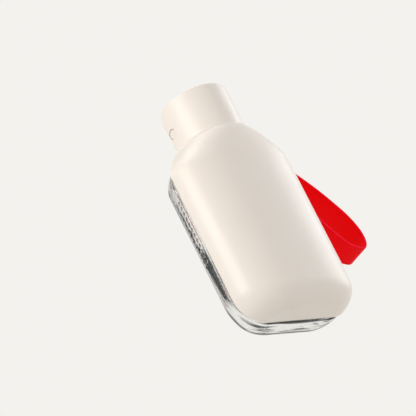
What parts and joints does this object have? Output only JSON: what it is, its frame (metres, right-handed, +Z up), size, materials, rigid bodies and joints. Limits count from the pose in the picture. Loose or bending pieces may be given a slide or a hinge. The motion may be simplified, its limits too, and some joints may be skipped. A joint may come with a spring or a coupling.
{
  "type": "dog travel water bottle",
  "caption": "Clear pocket-shaped water bottle with a push-pull valve, a hinged shell that flips up into a drinking bowl, and a looped silicone carry strap.",
  "frame": {"origin": "on the flat underside of the bottle, straight below the neck axis", "axes": "+Z up along the neck axis, the bowl shell faces -Y, the clear back faces +Y, +X to the right seen from the shell side, where the carry strap hangs"},
  "size_m": [0.1487, 0.0552, 0.1858],
  "materials": {
    "clear_bottle": "clear, polished",
    "cap_plastic": "moulded, satin",
    "gasket_silicone": "matte",
    "knob_plastic": "moulded, satin",
    "seal_rubber": "matte",
    "shell_plastic": "moulded, satin",
    "pin_plastic": "moulded, satin",
    "strap_silicone": "matte"
  },
  "bodies": {
    "bottle": {"bottle_body": "clear_bottle", "screw_cap": "cap_plastic", "cap_gasket": "gasket_silicone", "pivot_pin_left": "pin_plastic", "pivot_pin_right": "pin_plastic"},
    "bowl": {"bowl_shell": "shell_plastic"},
    "knob": {"valve_knob": "knob_plastic", "knob_o_ring": "seal_rubber"},
    "strap": {"carry_strap": "strap_silicone"}
  },
  "joints": [
    {"name": "bowl_flip", "type": "hinge", "parent": "bottle", "child": "bowl", "pos_m": [0, 0, 0.165], "axis": [-1, 0, 0], "range_deg": [0, 168]},
    {"name": "knob_pull", "type": "slide", "parent": "bottle", "child": "knob", "axis": [0, 0, 1], "range_m": [0, 0.0026]},
    {"name": "strap_swivel", "type": "hinge", "parent": "bottle", "child": "strap", "pos_m": [0, 0, 0.1414], "axis": [0, 0, 1], "range_deg": [0, 140]}
  ]
}
